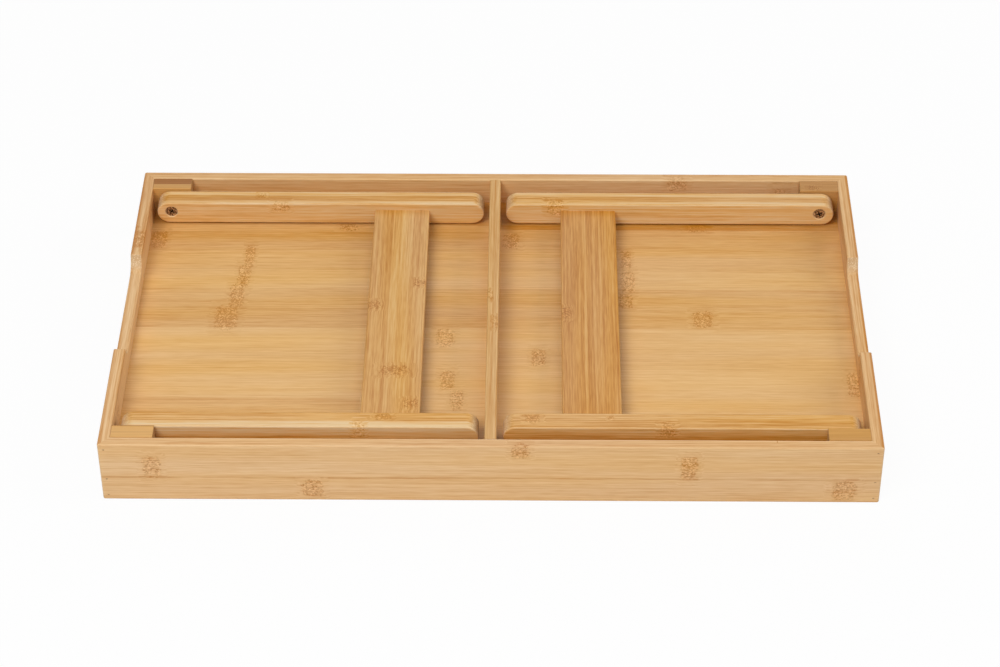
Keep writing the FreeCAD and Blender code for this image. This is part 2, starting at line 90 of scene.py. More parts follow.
def add_node(tree: Tree, kind: str, settings: dict | None = None,
             inputs: dict | None = None) -> bpy.types.Node:
    """Add one node, set its properties, and set or link its inputs.

    Args:
        tree: The node tree.
        kind: The node's type, without the ShaderNode prefix.
        settings: Properties of the node by name.
        inputs: Inputs by name or index, each a value or the socket that feeds it.

    Returns:
        The node.
    """
    node = tree.nodes.new("ShaderNode" + kind)
    for name, value in (settings or {}).items():
        setattr(node, name, value)
    for name, value in (inputs or {}).items():
        if isinstance(value, Socket):
            tree.links.new(value, node.inputs[name])
        else:
            node.inputs[name].default_value = value
    return node


def empty_material(name: str) -> bpy.types.Material:
    """Make a material without nodes.

    Args:
        name: The material's name.

    Returns:
        The material, for its nodes to be added.
    """
    material = bpy.data.materials.new(name)
    material.use_nodes = True
    material.node_tree.nodes.clear()
    return material


@dataclass(frozen=True)
class Knot:
    """A knot, where the cane had a joint: a ragged patch of pale and dark specks on a strip.

    x, y and z are its middle in the part's frame, along is half its length with the grain and
    across is half its length square to it, all in millimetres.
    """

    x: float
    y: float
    z: float
    along: float = 4.0
    across: float = 8.5


@dataclass(frozen=True)
class Strip:
    """A strip of known tone: how much darker it is, or paler where that is negative, and its
    box in the part's frame in millimetres. Some are the wood's own strips, and some are painted
    light and shade.
    """

    tone: float
    x: Span = EVERYWHERE
    y: Span = EVERYWHERE
    z: Span = EVERYWHERE


@dataclass(frozen=True)
class Fibres:
    """One layer of fibre noise: its cells with the grain and across it in millimetres,
    its octaves, and how much of the tone it moves.
    """

    along: float
    across: float
    octaves: float
    contrast: float


# Fibres are finer than this in real bamboo. They are drawn as coarse as the render can show.
PANEL_FIBRES = (Fibres(300, 10, 0, 0.04), Fibres(70, 1.0, 0, 0.2), Fibres(14, 0.6, 1, 0.22))
BOARD_FIBRES = (Fibres(260, 8, 0, 0.05), Fibres(70, 0.9, 0, 0.3), Fibres(14, 0.5, 1, 0.3))
LEG_FIBRES = (Fibres(200, 5, 0, 0.1), Fibres(80, 1.0, 0, 0.42), Fibres(16, 0.5, 1, 0.34))
BAR_FIBRES = (Fibres(260, 6, 0, 0.06), Fibres(90, 1.3, 0, 0.28), Fibres(14, 0.7, 1, 0.3))
BLOCK_FIBRES = (Fibres(60, 0.9, 1, 0.16),)

# Cells of the other patterns, along the grain, across it and up.
BEND_CELL_MM: Point = (160.0, 40.0, 40.0)
SWIRL_CELL_MM: Point = (10.0, 5.0, 5.0)
RAGGED_CELL_MM: Point = (3.0, 2.0, 2.0)
PATCH_CELL_MM: Point = (220.0, 16.0, 16.0)
RELIEF_CELL_MM: Point = (40.0, 0.5, 0.5)
FLECK_CELL_MM: Point = (4.0, 1.0, 1.0)

# Half the width of a glue line, to its soft edge and to its core. Real ones are hairlines, and
# they are drawn this coarse so that they show.
GLUE_EDGE_MM = 0.45
GLUE_CORE_MM = 0.1

# How much the fibres swerve, everywhere and beside a knot.
BEND_MM = 1.1
SWIRL_MM = 1.4

# Where these fade out and are full, in fourth powers of the distance to a knot. Noise moves
# the outline by up to RAGGEDNESS.
SWIRL_REACH: Span = (12.0, 0.2)
HALO_REACH: Span = (10.0, 0.4)
KNOT_OUTLINE: Span = (2.3, 1.0)
RAGGEDNESS = 1.3

# How squarely a face must look along the grain to count as a cut end, from not to wholly.
END_FACING: Span = (0.2, 0.9)

# A fleck's edge and middle, in cells of the pattern.
FLECK_REACH: Span = (0.55, 0.2)

# Noise is stretched from this range to the whole of 0 to 1.
NOISE_RANGE: Span = (0.3, 0.7)
NOISE_ROUGHNESS = 0.55

# How far each layer of noise is moved, and the share of it along the grain, across it and up,
# so that no two layers look alike.
SWIRL_OFFSET = 4.0
FIBRE_OFFSET = 9.0
RAGGED_OFFSET = 5.0
PATCH_OFFSET = 40.0
RELIEF_OFFSET = 3.0
OFFSET_SHARES: Point = (1.0, 1.7, 0.6)

# Picks the row of random numbers that the strips' tones come from, together with the seed.
STRIP_DRAW: tuple[float, float] = (0.37, 0.71)


@dataclass(frozen=True)
class Palette:
    """The sRGB colours of one board: its fibres from pale to dark, and its cut ends."""

    pale: str = "eec68c"
    mid: str = "deae6c"
    dark: str = "c48638"
    end: str = "d0aa7c"
    fleck: str = "e6cba2"


@dataclass(frozen=True)
class LaminatedBamboo:
    """Laminated bamboo, sanded and clear lacquered with a satin finish.

    To the eye it is straight fine fibres in strips of slightly different tone, hairline glue
    lines, speckled knots that the fibres swerve round, soft patches of stronger and weaker
    colour, paler sanded edges that carry a painted highlight, and a soft sheen. Cut ends show
    pale flecks. The specks of a knot are a little coarser than real ones, so that they show.

    The tone runs from 0 for the palette's pale colour to 1 for its dark one.

    Attributes:
        name: The material's name.
        grain: The way the fibres run.
        palette: Its colours.
        strip_mm: A strip's width across the grain, and its height.
        joint_mm: Where one joint lies in the grain frame, across the grain and up.
        strip_contrast: How much the strips differ in tone.
        fibres: Its layers of fibres.
        glue_tone: How much darker the glue lines are.
        edge_sanding_and_highlight: How much paler the edges are: sanding and a painted highlight.
        knot_tone: How much darker the knots are.
        knot_glint: How much the specks of a knot differ in brightness.
        knot_speckle: How much the specks of a knot differ in tone.
        knot_halo: How much darker the wood beside a knot is.
        speck_mm: A speck's length with the grain, and its width.
        colour_drift: How much the soft patches change the strength of the colour.
        roughness: Roughness of the lacquer.
        ior: Refractive index of the lacquer.
        specular: How strongly the lacquer mirrors.
        relief: How strongly the fibres' relief shades.
        relief_mm: Depth of the fibres' relief.
        seed: Draws the strips' tones and moves the noise.
        knots: Its knots.
        strips: Its strips of known tone, some of them painted light and shade.
    """

    name: str
    grain: Grain = Grain.ALONG_X
    palette: Palette = Palette()
    strip_mm: tuple[float, float] = (21.8, 6.0)
    joint_mm: tuple[float, float] = (0.0, 0.0)
    strip_contrast: float = 0.2
    fibres: tuple[Fibres, ...] = BOARD_FIBRES
    glue_tone: float = 0.08
    edge_sanding_and_highlight: float = 0.7
    knot_tone: float = 0.17
    knot_glint: float = 0.1
    knot_speckle: float = 0.26
    knot_halo: float = 0.06
    speck_mm: tuple[float, float] = (0.85, 1.05)
    colour_drift: float = 0.04
    roughness: float = 0.46
    ior: float = 1.5
    specular: float = 0.3
    relief: float = 0.3
    relief_mm: float = 0.04
    seed: float = 0.0
    knots: tuple[Knot, ...] = ()
    strips: tuple[Strip, ...] = ()

    def build(self) -> bpy.types.Material:
        """Make the material.

        Returns:
            The material, ready to go in a slot.
        """
        material = empty_material(self.name)
        tree = material.node_tree
        place, facing = self.grain_frame(tree)
        nearest = self.knot_distance(tree, place)
        bent = self.swerve(tree, place, nearest)
        tone = self.fibre_tone(tree, bent)
        tone = self.strip_tone(tree, place, tone)
        tone, glint = self.knot_patch(tree, place, nearest, tone)
        tone = self.edge_tone(tree, facing, tone)
        self.shade(tree, place, bent, facing, tone, glint)
        return material

    def grain_frame(self, tree: Tree) -> tuple[Socket, Socket]:
        """Give the place in millimetres and the facing, both with the grain along X.

        Args:
            tree: The material's node tree.

        Returns:
            The sockets of the place and of the facing.
        """
        turn = -math.pi / 2 if self.grain is Grain.ALONG_Y else 0.0
        source = add_node(tree, "TexCoord")
        place = add_node(tree, "Mapping", {"vector_type": "POINT"}, {
            "Vector": source.outputs["Object"], "Rotation": (0.0, 0.0, turn),
            "Scale": (1 / MM,) * 3})
        facing = add_node(tree, "Mapping", {"vector_type": "NORMAL"}, {
            "Vector": source.outputs["Normal"], "Rotation": (0.0, 0.0, turn)})
        return place.outputs["Vector"], facing.outputs["Vector"]

    def along_grain(self, point: Point) -> Point:
        """Turn a point of the part's frame the way the grain frame is turned."""
        x, y, z = point
        return (y, -x, z) if self.grain is Grain.ALONG_Y else (x, y, z)

    def cloud(self, tree: Tree, place: Socket, cell_mm: Point, detail: float,
              offset: float) -> Socket:
        """Noise with cells of a given size, spread to use the whole of 0 to 1.

        Args:
            tree: The material's node tree.
            place: Socket of the place in millimetres.
            cell_mm: Size of a cell along the grain, across it and up.
            detail: Octaves of finer noise.
            offset: Moves the noise, so that two layers differ.

        Returns:
            Socket of the noise.
        """
        cells = add_node(tree, "Mapping", {}, {
            "Vector": place, "Location": tuple(offset * share for share in OFFSET_SHARES),
            "Scale": tuple(1 / size for size in cell_mm)})
        noise = add_node(tree, "TexNoise", {}, {
            "Vector": cells.outputs[0], "Scale": 1.0, "Detail": detail,
            "Roughness": NOISE_ROUGHNESS})
        spread = add_node(tree, "MapRange", {}, {
            "Value": noise.outputs["Fac"], "From Min": NOISE_RANGE[0],
            "From Max": NOISE_RANGE[1]})
        return spread.outputs[0]

    def knot_distance(self, tree: Tree, place: Socket) -> Socket | None:
        """Fourth power of the distance to the nearest knot, 1 on the knot's edge.

        The fourth power gives a knot the outline of a box with round corners, because a
        strip's edges cut it off.

        Args:
            tree: The material's node tree.
            place: Socket of the place in the grain frame.

        Returns:
            Socket of the distance, or None where the board has no knots.
        """
        nearest = None
        for knot in self.knots:
            sizes = (knot.along, knot.across, knot.across)
            middle = self.along_grain((knot.x, knot.y, knot.z))
            away = add_node(tree, "VectorMath", {"operation": "MULTIPLY_ADD"}, {
                0: place, 1: tuple(1 / size for size in sizes),
                2: tuple(-at / size for at, size in zip(middle, sizes))})
            square = add_node(tree, "VectorMath", {"operation": "MULTIPLY"}, {
                0: away.outputs[0], 1: away.outputs[0]})
            fourth = add_node(tree, "VectorMath", {"operation": "DOT_PRODUCT"}, {
                0: square.outputs[0], 1: square.outputs[0]}).outputs["Value"]
            if nearest is None:
                nearest = fourth
            else:
                nearest = add_node(tree, "Math", {"operation": "MINIMUM"}, {
                    0: nearest, 1: fourth}).outputs[0]
        return nearest

    def swerve(self, tree: Tree, place: Socket, nearest: Socket | None) -> Socket:
        """Bend the fibres: gently everywhere, and in tight swirls beside a knot.

        Args:
            tree: The material's node tree.
            place: Socket of the place in the grain frame.
            nearest: Socket of the distance to the nearest knot, or None without knots.

        Returns:
            Socket of the place, shifted square to the grain.
        """
        shift = add_node(tree, "Math", {"operation": "MULTIPLY"}, {
            0: self.cloud(tree, place, BEND_CELL_MM, 1.0, self.seed), 1: BEND_MM}).outputs[0]
        if nearest is not None:
            beside = add_node(tree, "MapRange", {"interpolation_type": "SMOOTHSTEP"}, {
                "Value": nearest, "From Min": SWIRL_REACH[0], "From Max": SWIRL_REACH[1],
                "To Max": SWIRL_MM})
            swirl = self.cloud(tree, place, SWIRL_CELL_MM, 1.0, self.seed + SWIRL_OFFSET)
            shift = add_node(tree, "Math", {"operation": "MULTIPLY_ADD"}, {
                0: swirl, 1: beside.outputs[0], 2: shift}).outputs[0]
        bent = add_node(tree, "VectorMath", {"operation": "MULTIPLY_ADD"}, {
            0: shift, 1: (0.0, 1.0, 1.0), 2: place})
        return bent.outputs[0]

    def fibre_tone(self, tree: Tree, bent: Socket) -> Socket:
        """How dark the fibres are: layers of noise drawn out with the grain.

        Args:
            tree: The material's node tree.
            bent: Socket of the bent place.

        Returns:
            Socket of the tone, from 0 for pale to 1 for dark.
        """
        total = 0.5 - (self.strip_contrast + sum(layer.contrast for layer in self.fibres)) / 2
        for number, layer in enumerate(self.fibres):
            cell_mm = (layer.along, layer.across, layer.across)
            noise = self.cloud(tree, bent, cell_mm, layer.octaves,
                               self.seed + FIBRE_OFFSET * number)
            total = add_node(tree, "Math", {"operation": "MULTIPLY_ADD"}, {
                0: noise, 1: layer.contrast, 2: total}).outputs[0]
        return total

    def strip_tone(self, tree: Tree, place: Socket, tone: Socket) -> Socket:
        """Add the strips: a random tone for each cell of a grid, glue lines and known strips.

        Args:
            tree: The material's node tree.
            place: Socket of the place in the grain frame.
            tone: Socket of the tone so far.

        Returns:
            Socket of the new tone.
        """
        wide, high = self.strip_mm
        cells = add_node(tree, "VectorMath", {"operation": "MULTIPLY_ADD"}, {
            0: place, 1: (0.0, 1 / wide, 1 / high),
            2: (0.5, -self.joint_mm[0] / wide, -self.joint_mm[1] / high)})
        whole = add_node(tree, "VectorMath", {"operation": "FLOOR"}, {0: cells.outputs[0]})
        seeded = add_node(tree, "VectorMath", {"operation": "ADD"}, {
            0: whole.outputs[0], 1: (self.seed, *STRIP_DRAW)})
        strip = add_node(tree, "TexWhiteNoise", {"noise_dimensions": "3D"}, {
            "Vector": seeded.outputs[0]})
        tone = add_node(tree, "Math", {"operation": "MULTIPLY_ADD"}, {
            0: strip.outputs["Value"], 1: self.strip_contrast, 2: tone}).outputs[0]
        part = add_node(tree, "VectorMath", {"operation": "FRACTION"}, {0: cells.outputs[0]})
        centred = add_node(tree, "VectorMath", {"operation": "SUBTRACT"}, {
            0: part.outputs[0], 1: (0.5, 0.5, 0.5)})
        beside = add_node(tree, "VectorMath", {"operation": "ABSOLUTE"}, {0: centred.outputs[0]})
        sides = add_node(tree, "SeparateXYZ", {}, {0: beside.outputs[0]})
        for side, size in (("Y", wide), ("Z", high)):
            line = add_node(tree, "MapRange", {"interpolation_type": "SMOOTHSTEP"}, {
                "Value": sides.outputs[side], "From Min": 0.5 - GLUE_EDGE_MM / size,
                "From Max": 0.5 - GLUE_CORE_MM / size, "To Max": self.glue_tone})
            tone = add_node(tree, "Math", {"operation": "ADD"}, {
                0: tone, 1: line.outputs[0]}).outputs[0]
        for known in self.strips:
            corners = [self.along_grain(corner) for corner in zip(known.x, known.y, known.z)]
            middle = tuple((a + b) / 2 for a, b in zip(*corners))
            half = tuple(abs(a - b) / 2 for a, b in zip(*corners))
            away = add_node(tree, "VectorMath", {"operation": "MULTIPLY_ADD"}, {
                0: place, 1: tuple(1 / size for size in half),
                2: tuple(-at / size for at, size in zip(middle, half))})
            apart = add_node(tree, "VectorMath", {"operation": "ABSOLUTE"}, {0: away.outputs[0]})
            outside = add_node(tree, "VectorMath", {"operation": "FLOOR"}, {0: apart.outputs[0]})
            steps = add_node(tree, "VectorMath", {"operation": "LENGTH"}, {0: outside.outputs[0]})
            inside = add_node(tree, "Math", {"operation": "LESS_THAN"}, {
                0: steps.outputs["Value"], 1: 0.5})
            tone = add_node(tree, "Math", {"operation": "MULTIPLY_ADD"}, {
                0: inside.outputs[0], 1: known.tone, 2: tone}).outputs[0]
        return tone

    def knot_patch(self, tree: Tree, place: Socket, nearest: Socket | None,
                   tone: Socket) -> tuple[Socket, Socket | float]:
        """Darken the knots and what lies beside them, and speckle the knots.

        Each cell of a fine mosaic is brighter and paler, or duller and darker.

        Args:
            tree: The material's node tree.
            place: Socket of the place in the grain frame.
            nearest: Socket of the distance to the nearest knot, or None without knots.
            tone: Socket of the tone so far.

        Returns:
            Socket of the new tone, and socket or number of the brightness.
        """
        if nearest is None:
            return tone, 1.0
        ragged = self.cloud(tree, place, RAGGED_CELL_MM, 1.0, RAGGED_OFFSET)
        edge = add_node(tree, "Math", {"operation": "MULTIPLY_ADD"}, {
            0: ragged, 1: RAGGEDNESS, 2: nearest})
        patch = add_node(tree, "MapRange", {"interpolation_type": "SMOOTHSTEP"}, {
            "Value": edge.outputs[0], "From Min": KNOT_OUTLINE[0], "From Max": KNOT_OUTLINE[1]})
        long, wide = self.speck_mm
        grid = add_node(tree, "Mapping", {}, {
            "Vector": place, "Scale": (1 / long, 1 / wide, 1 / wide)})
        mosaic = add_node(tree, "TexVoronoi", {"feature": "F1"}, {
            "Vector": grid.outputs[0], "Scale": 1.0})
        shades = add_node(tree, "SeparateColor", {}, {0: mosaic.outputs["Color"]})
        bright = add_node(tree, "MapRange", {}, {
            "Value": shades.outputs[0], "To Min": -self.knot_glint, "To Max": self.knot_glint})
        glint = add_node(tree, "Math", {"operation": "MULTIPLY_ADD"}, {
            0: bright.outputs[0], 1: patch.outputs[0], 2: 1.0})
        dark = add_node(tree, "MapRange", {}, {
            "Value": shades.outputs[0], "To Min": self.knot_tone + self.knot_speckle,
            "To Max": self.knot_tone - self.knot_speckle})
        halo = add_node(tree, "MapRange", {"interpolation_type": "SMOOTHSTEP"}, {
            "Value": nearest, "From Min": HALO_REACH[0], "From Max": HALO_REACH[1],
            "To Max": self.knot_halo})
        shaded = add_node(tree, "Math", {"operation": "ADD"}, {0: halo.outputs[0], 1: tone})
        darker = add_node(tree, "Math", {"operation": "MULTIPLY_ADD"}, {
            0: dark.outputs[0], 1: patch.outputs[0], 2: shaded.outputs[0]})
        return darker.outputs[0], glint.outputs[0]

    def edge_tone(self, tree: Tree, facing: Socket, tone: Socket) -> Socket:
        """Lighten the edges, which face between two sides: sanding and a painted highlight.

        With s the square of the facing across the board, 4 s (1 - s) is 0 on both flat sides
        and 1 halfway round the edge.

        Args:
            tree: The material's node tree.
            facing: Socket of the facing in the grain frame.
            tone: Socket of the tone so far.

        Returns:
            Socket of the new tone.
        """
        parts = add_node(tree, "SeparateXYZ", {}, {0: facing})
        square = add_node(tree, "Math", {"operation": "MULTIPLY"}, {
            0: parts.outputs["Y"], 1: parts.outputs["Y"]})
        rest = add_node(tree, "Math", {"operation": "SUBTRACT"}, {0: 1.0, 1: square.outputs[0]})
        edge = add_node(tree, "Math", {"operation": "MULTIPLY"}, {
            0: square.outputs[0], 1: rest.outputs[0]})
        return add_node(tree, "Math", {"operation": "MULTIPLY_ADD"}, {
            0: edge.outputs[0], 1: -self.edge_sanding_and_highlight, 2: tone}).outputs[0]

    def cut_end(self, tree: Tree, place: Socket, facing: Socket) -> tuple[Socket, Socket]:
        """Find the faces cut across the grain, and the fibre ends that show there as flecks.

        Args:
            tree: The material's node tree.
            place: Socket of the place in the grain frame.
            facing: Socket of the facing in the grain frame.

        Returns:
            Sockets of the end weight and of the flecks.
        """
        parts = add_node(tree, "SeparateXYZ", {}, {0: facing})
        size = add_node(tree, "Math", {"operation": "ABSOLUTE"}, {0: parts.outputs["X"]})
        weight = add_node(tree, "MapRange", {"interpolation_type": "SMOOTHSTEP"}, {
            "Value": size.outputs[0], "From Min": END_FACING[0], "From Max": END_FACING[1]})
        flat = add_node(tree, "Mapping", {}, {
            "Vector": place, "Scale": tuple(1 / size for size in FLECK_CELL_MM)})
        cells = add_node(tree, "TexVoronoi", {"feature": "F1"}, {
            "Vector": flat.outputs[0], "Scale": 1.0})
        flecks = add_node(tree, "MapRange", {"interpolation_type": "SMOOTHSTEP"}, {
            "Value": cells.outputs["Distance"], "From Min": FLECK_REACH[0],
            "From Max": FLECK_REACH[1]})
        return weight.outputs[0], flecks.outputs[0]

    def shade(self, tree: Tree, place: Socket, bent: Socket, facing: Socket, tone: Socket,
              glint: Socket | float) -> None:
        """Colour, gloss and relief.

        Args:
            tree: The material's node tree.
            place: Socket of the place in the grain frame.
            bent: Socket of the bent place.
            facing: Socket of the facing in the grain frame.
            tone: Socket of the tone.
            glint: Socket or number of the brightness.
        """
        ramp = add_node(tree, "ValToRGB", {}, {0: tone})
        stops = ramp.color_ramp.elements
        stops[0].position, stops[0].color = 0.0, linear(self.palette.pale)
        stops[1].position, stops[1].color = 1.0, linear(self.palette.dark)
        stops.new(0.5).color = linear(self.palette.mid)
        end, flecks = self.cut_end(tree, place, facing)
        patches = self.cloud(tree, bent, PATCH_CELL_MM, 0.0, self.seed + PATCH_OFFSET)
        drift = add_node(tree, "MapRange", {}, {
            "Value": patches, "To Min": 1.0 - self.colour_drift,
            "To Max": 1.0 + self.colour_drift})
        drifted = add_node(tree, "HueSaturation", {}, {
            "Color": ramp.outputs["Color"], "Saturation": drift.outputs[0], "Value": glint})
        ends = add_node(tree, "Mix", {"data_type": "RGBA"}, {
            0: flecks, 6: linear(self.palette.end), 7: linear(self.palette.fleck)})
        colour = add_node(tree, "Mix", {"data_type": "RGBA"}, {
            0: end, 6: drifted.outputs["Color"], 7: ends.outputs[2]})
        height = self.cloud(tree, bent, RELIEF_CELL_MM, 2.0, RELIEF_OFFSET)
        bump = add_node(tree, "Bump", {}, {
            "Height": height, "Strength": self.relief, "Distance": self.relief_mm * MM})
        surface = add_node(tree, "BsdfPrincipled", {}, {
            "Base Color": colour.outputs[2], "Roughness": self.roughness,
            "Normal": bump.outputs[0], "IOR": self.ior, "Specular IOR Level": self.specular})
        add_node(tree, "OutputMaterial", {}, {"Surface": surface.outputs[0]})


@dataclass(frozen=True)
class DrivenSteel:
    """Steel fastener with a dark finish, scuffed bright where a tool has turned it.

    face_mm is how far the head's face lies from the tray's middle along Y, for a fastener
    with a recess: what lies deeper is black, as painted shade in the recess. fade_mm is how
    deep behind the face the black begins and is full. wear_per_mm is how many patches of wear
    there are to a millimetre, and wear_range is the noise where the scuffs begin and are full.
    """

    name: str
    colour: str
    scuff: str
    roughness: float
    metallic: float = 1.0
    face_mm: float | None = None
    # Colour of the painted shade deep in the recess.
    recess: str = "0c0908"
    fade_mm: Span = (0.1, 0.5)
    wear_per_mm: float = 0.9
    wear_range: Span = (0.45, 0.65)
    relief: float = 0.2
    relief_mm: float = 0.03

    def build(self) -> bpy.types.Material:
        """Make the material.

        Returns:
            The material, ready to go in a slot.
        """
        material = empty_material(self.name)
        tree = material.node_tree
        source = add_node(tree, "TexCoord")
        noise = add_node(tree, "TexNoise", {}, {
            "Vector": source.outputs["Object"], "Scale": self.wear_per_mm / MM, "Detail": 3.0})
        worn = add_node(tree, "MapRange", {}, {
            "Value": noise.outputs["Fac"], "From Min": self.wear_range[0],
            "From Max": self.wear_range[1]})
        colour = add_node(tree, "Mix", {"data_type": "RGBA"}, {
            0: worn.outputs[0], 6: linear(self.colour), 7: linear(self.scuff)})
        # Painted shade: black deeper than the head's face.
        if self.face_mm is not None:
            parts = add_node(tree, "SeparateXYZ", {}, {0: source.outputs["Object"]})
            depth = add_node(tree, "Math", {"operation": "ABSOLUTE"}, {0: parts.outputs["Y"]})
            deep = add_node(tree, "MapRange", {}, {
                "Value": depth.outputs[0], "From Min": (self.face_mm + self.fade_mm[0]) * MM,
                "From Max": (self.face_mm + self.fade_mm[1]) * MM})
            colour = add_node(tree, "Mix", {"data_type": "RGBA"}, {
                0: deep.outputs[0], 6: colour.outputs[2], 7: linear(self.recess)})
        bump = add_node(tree, "Bump", {}, {
            "Height": noise.outputs["Fac"], "Strength": self.relief,
            "Distance": self.relief_mm * MM})
        surface = add_node(tree, "BsdfPrincipled", {}, {
            "Base Color": colour.outputs[2], "Roughness": self.roughness,
            "Metallic": self.metallic, "Normal": bump.outputs[0]})
        add_node(tree, "OutputMaterial", {}, {"Surface": surface.outputs[0]})
        return material


@dataclass(frozen=True)
class MouldedNylon:
    """Natural nylon as moulded: milky, smooth and softly shining."""

    name: str = "moulded_nylon"
    colour: str = "ddd6c4"
    roughness: float = 0.45
    ior: float = 1.53
    grain_per_mm: float = 1.5
    relief: float = 0.15
    relief_mm: float = 0.02

    def build(self) -> bpy.types.Material:
        """Make the material.

        Returns:
            The material, ready to go in a slot.
        """
        material = empty_material(self.name)
        tree = material.node_tree
        source = add_node(tree, "TexCoord")
        noise = add_node(tree, "TexNoise", {}, {
            "Vector": source.outputs["Object"], "Scale": self.grain_per_mm / MM, "Detail": 2.0})
        bump = add_node(tree, "Bump", {}, {
            "Height": noise.outputs["Fac"], "Strength": self.relief,
            "Distance": self.relief_mm * MM})
        surface = add_node(tree, "BsdfPrincipled", {}, {
            "Base Color": linear(self.colour), "Roughness": self.roughness, "IOR": self.ior,
            "Normal": bump.outputs[0]})
        add_node(tree, "OutputMaterial", {}, {"Surface": surface.outputs[0]})
        return material


def dress(node: str, material: bpy.types.Material) -> None:
    """Give a CAD node its finish.

    Args:
        node: The node's name.
        material: The material.
    """
    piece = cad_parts[node]
    piece.data.materials.clear()
    piece.data.materials.append(material)
    log.info("dressed %s in %s", node, material.name)


@dataclass
class TrayFrame:
    """The four mitred boards and the brads of their corners."""

    palette: Palette = Palette("ecc794", "deb078", "c4843e")
    front_knots: tuple[Knot, ...] = (
        Knot(-225, -150, 30, 6, 9), Knot(-119, -150, 11, 7, 7), Knot(20, -150, 44, 6, 5),
        Knot(132, -150, 31, 5.5, 10), Knot(236, -150, 11, 8, 8))
    # Its top with a painted highlight along its inner edge, its front face paler as painted
    # light with a dark joint at half its height, and last its butt joint.
    front_strips: tuple[Strip, ...] = (
        Strip(0.02, y=(-148.6, -144.6), z=(48.0, FAR)),
        # A painted highlight along the inner edge.
        Strip(-0.4, y=(-143.2, FAR), z=(47.0, FAR)),
        # Painted light: the whole front face paler.
        Strip(-0.25, y=FRONT_FACE),
        Strip(0.16, y=FRONT_FACE, z=(19.7, 21.7)),
        Strip(0.16, y=FRONT_FACE, z=(20.2, 21.2)),
        Strip(0.07, y=FRONT_FACE, z=(-FAR, 20.5)),
        Strip(0.16, y=FRONT_FACE, z=(-FAR, 1.4)),
        Strip(0.7, x=(189.3, 189.9), y=(-144.6, FAR), z=(48.0, FAR)))
    back_knots: tuple[Knot, ...] = (
        Knot(134, 142, 45, 7, 5), Knot(-60, 150, 20, 6, 9), Knot(210, 150, 34, 6, 9))
    back_strips: tuple[Strip, ...] = (
        Strip(0.08, y=(143.0, FAR)),
        # Painted light: the inner face paler.
        Strip(-0.05, y=(-FAR, 143.0)))
    left_knots: tuple[Knot, ...] = (
        Knot(-260, 96, 22, 6, 8), Knot(-252, -104, 36, 5, 6), Knot(-256, 70, 49, 9, 4))
    left_strips: tuple[Strip, ...] = (
        # Painted light: the inner face paler.
        Strip(-0.3, x=(-252.3, FAR), y=(-FAR, 100.0), z=(-FAR, 46.0)),
        Strip(0.2, x=(-FAR, -258.2), z=RIM),
        Strip(-0.2, x=(-257.0, -254.6), z=RIM),
        Strip(0.1, z=(46.0, FAR)),
        Strip(0.16, y=(60.0, FAR), z=RIM))
    right_knots: tuple[Knot, ...] = (Knot(252, -62, 32, 6, 8), Knot(260, 80, 20, 6, 8))
    right_strips: tuple[Strip, ...] = (
        Strip(0.1, z=RIM),
        Strip(0.38, x=(258.4, FAR), z=RIM),
        Strip(-0.15, x=(252.0, 254.6), z=RIM))

    def board(self, node: str, grain: Grain, seed: float, knots: tuple[Knot, ...],
              strips: tuple[Strip, ...], edge_sanding_and_highlight: float = 0.7, knot_tone: float = 0.17,
              knot_speckle: float = 0.26) -> None:
        """Dress one board.

        Args:
            node: The board's node.
            grain: The way its fibres run.
            seed: Draws its strips.
            knots: Its knots.
            strips: Its strips of known tone.
            edge_sanding_and_highlight: How much paler its edges are: sanding and a painted
                highlight.
            knot_tone: How much darker its knots are.
            knot_speckle: How much the specks of a knot differ in tone.
        """
        finish = LaminatedBamboo(f"bamboo_{node}", grain, self.palette, strip_mm=(2.7, 20.0),
                                 joint_mm=(-147.3, 20.5), seed=seed, strip_contrast=0.12,
                                 knots=knots, strips=strips, edge_sanding_and_highlight=edge_sanding_and_highlight,
                                 knot_tone=knot_tone, knot_speckle=knot_speckle,
                                 speck_mm=(1.15, 1.0))
        dress(node, finish.build())

    def build(self) -> None:
        """Dress the boards and the brads."""
        # The front rail's edges are darker instead, as painted shade over the lamps' highlight.
        self.board("front_rail", Grain.ALONG_X, 1.0, self.front_knots, self.front_strips,
                   edge_sanding_and_highlight=-0.2, knot_tone=0.26, knot_speckle=0.26)
        self.board("back_rail", Grain.ALONG_X, 2.0, self.back_knots, self.back_strips)
        self.board("left_wall", Grain.ALONG_Y, 3.0, self.left_knots, self.left_strips)
        self.board("right_wall", Grain.ALONG_Y, 4.0, self.right_knots, self.right_strips)
        # The brads' heads are faint, so they are near the wood's colour and mirror little.
        brads = DrivenSteel("plain_steel_brad", "a5825a", "c09a6e", 0.5, 0.2)
        dress("corner_brads", brads.build())


